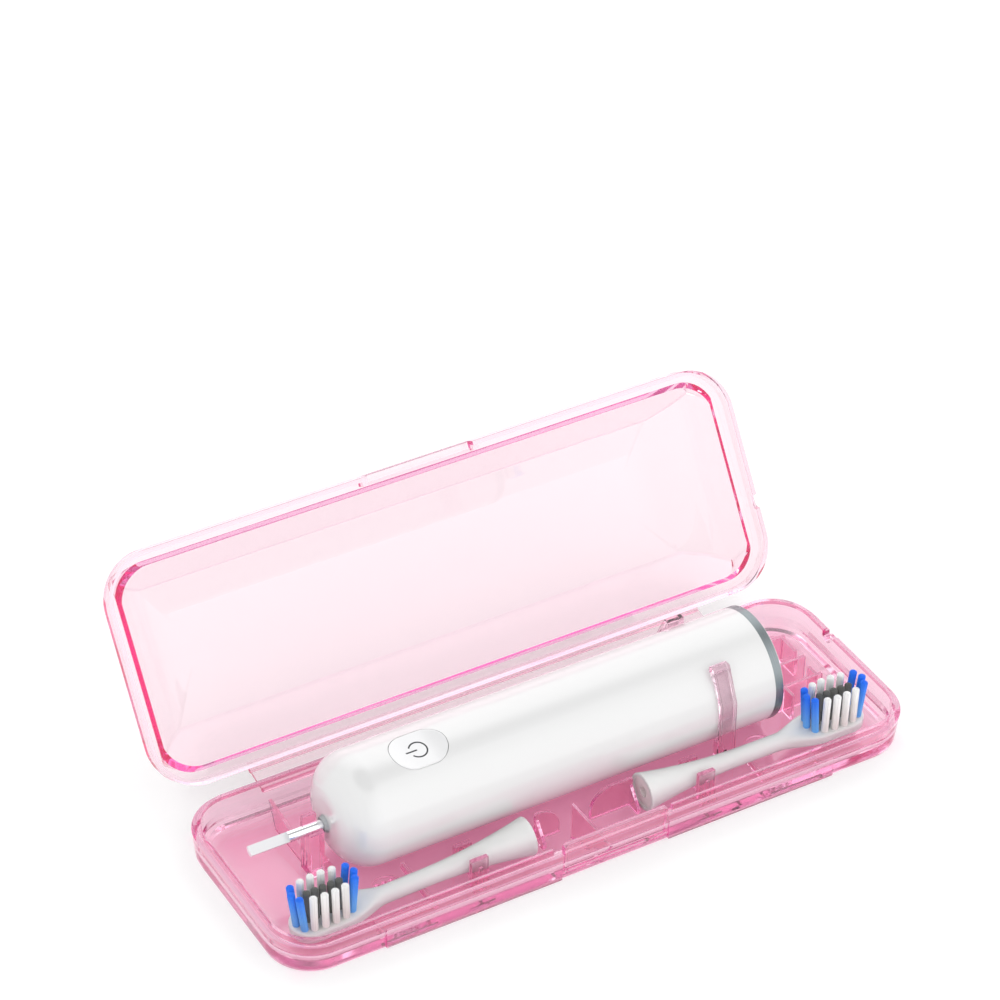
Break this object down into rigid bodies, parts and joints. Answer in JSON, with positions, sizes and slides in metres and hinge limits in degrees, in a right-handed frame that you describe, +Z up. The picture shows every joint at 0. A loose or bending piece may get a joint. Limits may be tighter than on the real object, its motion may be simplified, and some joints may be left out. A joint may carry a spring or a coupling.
{
  "type": "toothbrush travel case",
  "caption": "Hinged clear travel case, open, holding an electric toothbrush handle and spare brush heads in moulded clips.",
  "frame": {"origin": "middle of the base's underside", "axes": "+X along the case towards the handle's end, +Y from the latch to the hinge, +Z up out of the base"},
  "size_m": [0.24, 0.1457, 0.0786],
  "materials": {
    "clear_pink": "clear tinted, moulded",
    "white_shell": "gloss",
    "white_button": "satin",
    "silver_ring": "plated",
    "grey_rubber": "soft",
    "shaft_steel": "ground",
    "magnet_nickel": "plated",
    "bush_bronze": "sintered",
    "can_steel": "drawn",
    "copper_wire": "enamelled",
    "frame_plastic": "moulded",
    "cell_wrap": "film",
    "board_green": "coated",
    "switch_black": "moulded",
    "white_stem": "satin",
    "socket_plastic": "moulded",
    "white_bristle": "nylon",
    "grey_bristle": "nylon",
    "blue_bristle": "nylon"
  },
  "bodies": {
    "base": {"base_tray": "clear_pink", "handle_clip": "clear_pink"},
    "strap": {"hinge_strap": "clear_pink"},
    "lid": {"lid_shell": "clear_pink"},
    "handle": {"handle_shell": "white_shell", "end_ring": "silver_ring", "end_cap": "white_shell", "cap_seal": "grey_rubber", "shaft_boot": "grey_rubber", "shaft_bush": "bush_bronze", "motor_can": "can_steel", "field_coil": "copper_wire", "inner_frame": "frame_plastic", "battery_cell": "cell_wrap", "circuit_board": "board_green", "tact_switch": "switch_black", "charging_coil": "copper_wire"},
    "button": {"power_button": "white_button"},
    "shaft": {"drive_shaft": "shaft_steel", "rotor_magnet": "magnet_nickel"},
    "head_left": {"left_stem": "white_stem", "left_socket": "socket_plastic", "left_white_tufts": "white_bristle", "left_grey_tufts": "grey_bristle", "left_blue_tufts": "blue_bristle"},
    "head_right": {"right_stem": "white_stem", "right_socket": "socket_plastic", "right_white_tufts": "white_bristle", "right_grey_tufts": "grey_bristle", "right_blue_tufts": "blue_bristle"}
  },
  "joints": [
    {"name": "strap_fold", "type": "hinge", "parent": "base", "child": "strap", "pos_m": [0, 0.0412, 0.00755], "axis": [-1, 0, 0], "range_deg": [-79, 0]},
    {"name": "lid_fold", "type": "hinge", "parent": "strap", "child": "lid", "pos_m": [0, 0.04856, 0.00898], "axis": [-1, 0, 0], "range_deg": [-44.7, 0]},
    {"name": "handle_lift", "type": "slide", "parent": "base", "child": "handle", "axis": [0, 0, 1], "range_m": [0, 0.06], "deforming": ["handle_clip"]},
    {"name": "power_press", "type": "slide", "parent": "handle", "child": "button", "axis": [0, 0.1736, -0.9848], "range_m": [0, 0.0004], "stiffness_N_per_m": 500, "springref_m": -0.0005},
    {"name": "shaft_sweep", "type": "hinge", "parent": "handle", "child": "shaft", "pos_m": [-0.084, 0.00286, 0.01983], "axis": [1, 0, 0], "range_deg": [-8, 8], "stiffness_Nm_per_rad": 0.05},
    {"name": "head_left_lift", "type": "slide", "parent": "base", "child": "head_left", "axis": [0, -0.0797, 0.9968], "range_m": [0, 0.05]},
    {"name": "head_right_lift", "type": "slide", "parent": "base", "child": "head_right", "axis": [0, -0.0797, 0.9968], "range_m": [0, 0.05]}
  ],
  "couplings": [
    {"joint": "lid_fold", "follows": "strap_fold", "ratio": 0.5658}
  ]
}
